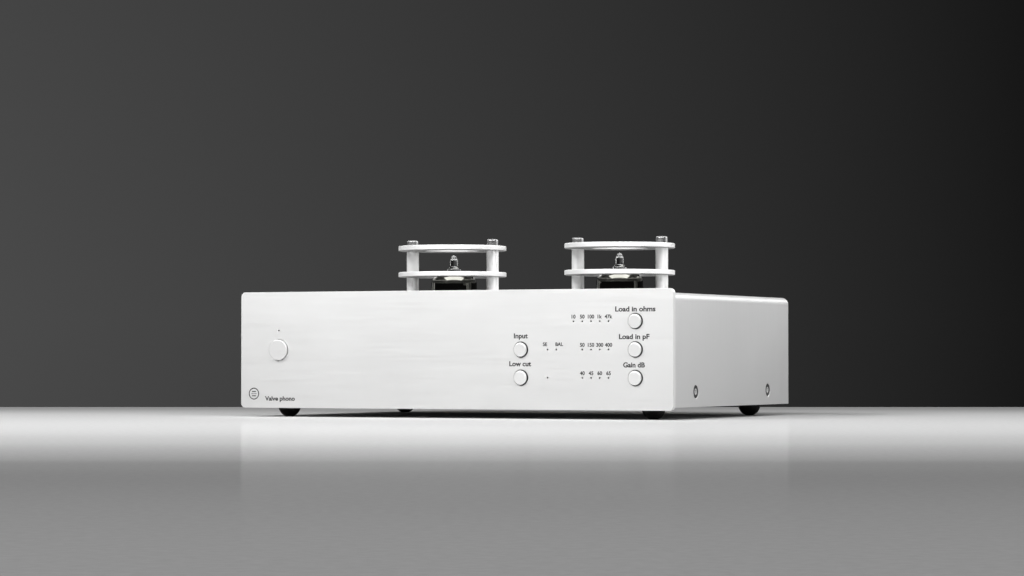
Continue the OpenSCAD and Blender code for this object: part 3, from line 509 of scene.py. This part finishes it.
MIRROR_GAP = 0.02 * MM        # between the bulb and the mirror's skin
TIP_LENGTH = 7.8 * MM         # of the tip on the bulb's dome
TIP_FOOT_R = 3.05 * MM
SHOULDER_DROP = 13.4 * MM     # from the top of the tip to where the bulb starts to close
SKIN_DROP = 4.0 * MM          # from the panel's upper edge to the skin's lower edge
MIRROR_DROP = 1.0 * MM        # from the panel's upper edge to the mirror's edge
WALL_STEPS, DOME_STEPS = 8, 24
MIRROR = getter_mirror(panel_high.z - MIRROR_DROP)


def add_getter_mirror(side):
    """The getter's mirror as a thin skin on the bulb, from below the panel's edge to the tip's foot."""
    name = f"getter_mirror_{side}"
    low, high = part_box(f"valve_{side}_glass")
    radius = (high.x - low.x) / 2 + MIRROR_GAP
    shoulder = high.z - SHOULDER_DROP
    dome = high.z - TIP_LENGTH + MIRROR_GAP
    crown = TIP_FOOT_R + MIRROR_GAP
    skin_low = panel_high.z - SKIN_DROP
    outline = [(radius, skin_low + (shoulder - skin_low) * i / WALL_STEPS) for i in range(WALL_STEPS)]
    for i in range(DOME_STEPS + 1):
        a = math.pi / 2 * i / DOME_STEPS
        outline.append((crown + (radius - crown) * math.cos(a),
                        shoulder + (dome - shoulder) * math.sin(a)))
    skin = lathe(name, outline, (low + high) / 2)
    return mesh_object(name, skin, MIRROR, f"valve_{side}")


mirrors = [add_getter_mirror(side) for side in SIDES]


# ---------------------------------------------------------------- legends on the front panel

INK = ink()
INK_PROUD = 0.02 * MM     # of the panel's face
STROKE_SHARE = 0.042      # added to each side of a letter's strokes, as a share of its height
CAP_SHARE = 0.73          # capital height of the built-in typeface, as a share of its size


def legend(name, words, x, z, cap_height, width=None):
    """Printed words centred on (x, z) on the panel's face, as a thin mesh, if need be stretched to
    width."""
    curve = bpy.data.curves.new(name, "FONT")
    curve.body = words
    curve.align_x = "CENTER"
    curve.size = cap_height / CAP_SHARE
    curve.offset = STROKE_SHARE * cap_height
    curve.extrude = INK_PROUD / 2
    curve.resolution_u = 6
    text = bpy.data.objects.new(name, curve)
    bpy.context.scene.collection.objects.link(text)
    bpy.context.view_layer.update()
    mesh = bpy.data.meshes.new_from_object(text)
    bpy.data.objects.remove(text)
    xs = [v.co.x for v in mesh.vertices]
    stretch = width / (max(xs) - min(xs)) if width else 1.0
    middle = (max(xs) + min(xs)) / 2
    for v in mesh.vertices:
        v.co = Vector((x + (v.co.x - middle) * stretch, face_y - INK_PROUD / 2 - v.co.z,
                       z + v.co.y - cap_height / 2))
    return mesh_object(name, mesh, INK, "chassis")


button = {key: centre_of(f"{key}_button") for key in KEYS}
LAMP_PITCH = 4.0 * MM
LAMP_R = 1.45 * MM
last_lamp_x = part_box("indicator_leds")[1].x - LAMP_R      # the right end of each scale of lamps

TITLE_CAP = 2.1 * MM      # capital height of the titles over the buttons
NUMBER_CAP = 1.6 * MM     # and of the numbers over the lamps
NUMBER_RISE = 2.0 * MM    # from the middle of a row of lamps up to that of its numbers

TITLES = (
    # name, words, button, shift in x, height above the button's middle and width, all in mm
    ("legend_load_ohm", "Load in ohms", "load_ohm", 0.0, 5.1, 18.2),
    ("legend_load_pf", "Load in pF", "load_pf", -0.5, 5.45, 13.8),
    ("legend_gain", "Gain dB", "gain", -0.6, 5.5, 9.8),
    ("legend_input", "Input", "input", 0.0, 5.9, 6.5),
    ("legend_low_cut", "Low cut", "subsonic", -0.3, 5.95, 10.2),
)
for name, words, key, shift, rise, width in TITLES:
    legend(name, words, button[key].x + shift * MM, button[key].z + rise * MM, TITLE_CAP, width * MM)

SCALES = (("ohm", "load_ohm", ("10", "50", "100", "1k", "47k")),
          ("pf", "load_pf", ("50", "150", "300", "400")),
          ("db", "gain", ("40", "45", "60", "65")))
for scale_name, key, values in SCALES:
    for i, value in enumerate(values):
        x = last_lamp_x - (len(values) - 1 - i) * LAMP_PITCH
        legend(f"legend_{scale_name}_{value}", value, x, button[key].z + NUMBER_RISE, NUMBER_CAP)

MODE_CAP = 1.5 * MM       # the two words over the lamps of the input button
MODE_RISE = 2.3 * MM
MODE_SHIFT = 12.45 * MM   # from the button to the first of its two lamps
SE_SHIFT = -1.2 * MM      # from each of those lamps to its word
BAL_SHIFT = 1.4 * MM
mode_x, mode_z = button["input"].x + MODE_SHIFT, button["input"].z + MODE_RISE
legend("legend_unbalanced", "SE", mode_x + SE_SHIFT, mode_z, MODE_CAP)
legend("legend_balanced", "BAL", mode_x + LAMP_PITCH + BAL_SHIFT, mode_z, MODE_CAP)


CORNER = Vector((panel_low.x, 0, panel_low.z))      # the panel's lower left one
MARK_PLACE = CORNER + Vector((6.5, 0, 6.2)) * MM    # the mark's middle
MARK_R = 2.6 * MM
MARK_STEPS = 64
LINE = 0.42 * MM
GRID_LINE = 0.8 * LINE
PLATE_HALF = 1.0 * MM     # half the width of the symbol's anode and cathode
PLATE_RISE = 0.95 * MM    # from the grid up to the anode, and down to the cathode
DASH = 0.6 * MM
DASH_STARTS = (-1.25 * MM, -0.3 * MM, 0.65 * MM)


def add_mark():
    """A plain ring round the circuit symbol of a triode, as one flat print."""
    bm = bmesh.new()

    def place(u, v):
        return bm.verts.new((MARK_PLACE.x + u, face_y - INK_PROUD, MARK_PLACE.z + v))

    def bar(u0, u1, v, thick):
        bm.faces.new([place(u0, v - thick / 2), place(u1, v - thick / 2),
                      place(u1, v + thick / 2), place(u0, v + thick / 2)])

    outer, inner = ([place(r * math.cos(a), r * math.sin(a)) for a in full_turn(MARK_STEPS)]
                    for r in (MARK_R, MARK_R - LINE))
    for i in range(MARK_STEPS):
        j = (i + 1) % MARK_STEPS
        bm.faces.new([outer[i], outer[j], inner[j], inner[i]])
    bar(-PLATE_HALF, PLATE_HALF, PLATE_RISE, LINE)
    for u in DASH_STARTS:
        bar(u, u + DASH, 0.0, GRID_LINE)
    bar(-PLATE_HALF, PLATE_HALF, -PLATE_RISE, LINE)
    mesh = bpy.data.meshes.new("generic_mark")
    bm.to_mesh(mesh)
    bm.free()
    mesh_object("generic_mark", mesh, INK, "chassis")


add_mark()

WORDS_PLACE = CORNER + Vector((19.6, 0, 4.2)) * MM
WORDS_CAP, WORDS_WIDTH = 1.95 * MM, 15.0 * MM
legend("legend_phono", "Valve phono", WORDS_PLACE.x, WORDS_PLACE.z, WORDS_CAP, WORDS_WIDTH)


# ---------------------------------------------------------------- studio

VIEW_BEARING = math.radians(25.376)     # the camera looks this far to the left of +Y
VIEW_PITCH = math.radians(1.294)        # and this far up
LENS, SENSOR = 110.12, 36.0             # in mm, as Blender has them
CAMERA_X = 597.7 * MM
CAMERA_AHEAD = 1198.4 * MM              # of the panel's face
CAMERA_HEIGHT = 25.45 * MM
CLIP_NEAR, CLIP_FAR = 0.01, 50.0


def camera():
    """The photo's camera: low, to the right of the front, with a long lens."""
    data = bpy.data.cameras.new("camera")
    data.lens = LENS
    data.sensor_width = SENSOR
    data.clip_start = CLIP_NEAR
    data.clip_end = CLIP_FAR
    made = bpy.data.objects.new("camera", data)
    bpy.context.scene.collection.objects.link(made)
    made.location = (CAMERA_X, face_y - CAMERA_AHEAD, CAMERA_HEIGHT)
    made.rotation_euler = (math.pi / 2 + VIEW_PITCH, 0, VIEW_BEARING)
    bpy.context.scene.camera = made


LIT_POINT = Vector((0, 0, 0.04))


def area_light(name, bearing, height, distance, size, power):
    """A softbox that faces LIT_POINT. Seen from there it stands at this bearing, in degrees from
    the front to the right, and height, in degrees above the level. The power is in watts."""
    data = bpy.data.lights.new(name, "AREA")
    data.shape = "RECTANGLE"
    data.size, data.size_y = size
    data.energy = power
    made = bpy.data.objects.new(name, data)
    bpy.context.scene.collection.objects.link(made)
    turn, up = math.radians(bearing), math.radians(height)
    aim = Vector((-math.sin(turn) * math.cos(up), math.cos(turn) * math.cos(up), -math.sin(up)))
    made.location = LIT_POINT - aim * distance
    made.rotation_euler = aim.to_track_quat("-Z", "Y").to_euler()
    made.visible_camera = False
    return made


# The table's places are distances from the middle of the CAD frame, away from the camera.
FLOOR_NEAR, FLOOR_FAR = -1.15, 0.245
FLOOR_HALF_WIDTH = 2.4
APRON_DEPTH, APRON_DROP = 2.0, 0.06     # the part that falls away behind FLOOR_FAR
# how pale the table is at each place, a painted pool of light: dark ahead, bright round the object
FLOOR_PAINTED_LIGHT = ((-1.03, 0.20), (-0.80, 0.168), (-0.69, 0.182), (-0.62, 0.252), (-0.48, 0.475),
               (-0.36, 0.68), (-0.22, 0.86), (-0.05, 0.85), (0.06, 0.74), (0.18, 0.49))
GLOSS_NEAR, GLOSS_FAR = -0.86, -0.42    # the gloss grows from the first place to the second


def floor():
    """A pale, slightly glossy table, aligned with the camera, with a painted pool of light round the
    object.

    Behind the object it falls away a little, out of the camera's sight, so that the camera sees its
    edge and a view from behind still has a table."""
    s = Shader("floor_pale")
    grain = s.noise(420, 5)
    along = s.axis("Y")
    # Painted pool of light: the table's colour is bright round the object and dark ahead of it.
    ramp = s.node("ShaderNodeValToRGB", {"Fac": s.span(along, FLOOR_NEAR, FLOOR_FAR)})
    ramp.color_ramp.interpolation = "CARDINAL"
    stops = ramp.color_ramp.elements
    for i, (place, grey) in enumerate(FLOOR_PAINTED_LIGHT):
        stop = stops[i] if i < 2 else stops.new(1.0)
        stop.position = (place - FLOOR_NEAR) / (FLOOR_FAR - FLOOR_NEAR)
        stop.color = (grey, grey, grey, 1.0)
    speckle = s.span(grain, 0.35, 0.65, 0.92, 1.0)
    tone = s.mix(speckle, BLACK, ramp.outputs["Color"])
    bumps = s.bump(grain, 0.15, 0.05 * MM)
    matt = s.node("ShaderNodeBsdfDiffuse", {"Color": tone, "Normal": bumps})
    shiny = s.node("ShaderNodeBsdfGlossy", {"Color": (0.95, 0.95, 0.95), "Roughness": 0.09})
    share = s.span(along, GLOSS_NEAR, GLOSS_FAR, 0.01, 0.18)
    grazing = s.node("ShaderNodeLayerWeight", {"Blend": 0.5}).outputs["Facing"]
    share = s.math("MULTIPLY", share, s.span(grazing, 0.75, 0.95, 0.25, 1.0))
    both = s.node("ShaderNodeMixShader")
    for socket, value in zip(both.inputs, (share, matt.outputs[0], shiny.outputs[0])):
        s.feed(socket, value)
    mesh = bpy.data.meshes.new("floor")
    rows = ((FLOOR_NEAR, 0.0), (FLOOR_FAR, 0.0), (FLOOR_FAR + APRON_DEPTH, -APRON_DROP))
    corners = [(x, y, z) for y, z in rows for x in (-FLOOR_HALF_WIDTH, FLOOR_HALF_WIDTH)]
    mesh.from_pydata(corners, [], [(0, 1, 3, 2), (2, 3, 5, 4)])
    mesh.materials.append(s.complete(both))
    made = bpy.data.objects.new("floor", mesh)
    bpy.context.scene.collection.objects.link(made)
    made.rotation_euler = (0, 0, VIEW_BEARING)
    return made


def linked(name, pieces, state):
    """A collection that light linking reads as only these pieces, if state is INCLUDE, or as all but
    these, if it is EXCLUDE."""
    made = bpy.data.collections.new(name)
    for i, piece in enumerate(pieces):
        made.objects.link(piece)
        made.collection_objects[i].light_linking.link_state = state
    return made


WALL_LEFT, WALL_RIGHT = 0.085, 0.012    # brightness of the wall at the picture's left and right edge
WALL_BRIGHTEST = 0.45                   # the brightest height, as a share of the picture's height
DARK_ROOM = 0.02


def backdrop():
    """The world: the camera sees a grey wall that fades to the right, all else a dark room."""
    s = Shader("backdrop", world=True)
    window = s.node("ShaderNodeTexCoord").outputs["Window"]
    across = s.span(s.part_of(window, "X"), 0.0, 1.0, WALL_LEFT, WALL_RIGHT)
    away = s.math("ABSOLUTE", s.math("SUBTRACT", s.part_of(window, "Y"), WALL_BRIGHTEST))
    wall = s.math("MULTIPLY", across, s.span(away, 0.0, 0.6, 1.0, 0.85))
    seen = s.node("ShaderNodeLightPath").outputs
    direct = s.math("MAXIMUM", seen["Is Camera Ray"], seen["Is Transmission Ray"])
    level = s.span(direct, 0.0, 1.0, DARK_ROOM, wall)
    bpy.context.scene.world = s.complete(s.node("ShaderNodeBackground", {"Strength": level}))


camera()
table = floor()
backdrop()

# name, bearing, height, distance, size, power
area_light("over_camera", 28, 40, 1.5, (2.6, 0.7), 27.4)
area_light("front_left", -35, 38, 1.8, (1.0, 0.7), 18.5)
beside = area_light("low_right", 128, 8, 1.7, (1.2, 0.9), 5.1)
around = [area_light("edge_right", 105, 6, 1.7, (0.22, 1.2), 0.9),
          area_light("low_left", -94, 6, 1.6, (0.3, 0.9), 0.8),
          area_light("high_back", 170, 60, 1.2, (1.6, 0.8), 7.5),
          area_light("back_right", 140, 30, 1.6, (1.2, 0.7), 7.5),
          area_light("back_left", -135, 30, 1.6, (1.2, 0.7), 6.6)]
gleam = area_light("gleam", 25, 76, 1.0, (1.3, 0.75), 14.0)
cage_fill = area_light("cage_fill", 58, 8, 1.7, (0.9, 0.9), 5.5)

# Only the two lights in front reach the table, so the object's shadow stays deep.
rings = [frame["nodes"][f"cage_{side}_{level}_ring"] for side in SIDES for level in ("lower", "upper")]
cages = rings + [frame["nodes"]["cage_spacers"]]
for light in around:
    light.light_linking.receiver_collection = linked("not_the_table", [table], "EXCLUDE")
beside.light_linking.receiver_collection = linked("not_table_or_mirrors", [table] + mirrors, "EXCLUDE")
gleam.light_linking.receiver_collection = linked("only_the_mirrors", mirrors, "INCLUDE")
gleam.light_linking.blocker_collection = linked("not_the_rings", rings, "EXCLUDE")
cage_fill.light_linking.receiver_collection = linked("only_the_cages", cages, "INCLUDE")
bpy.context.scene.view_settings.view_transform = "Standard"
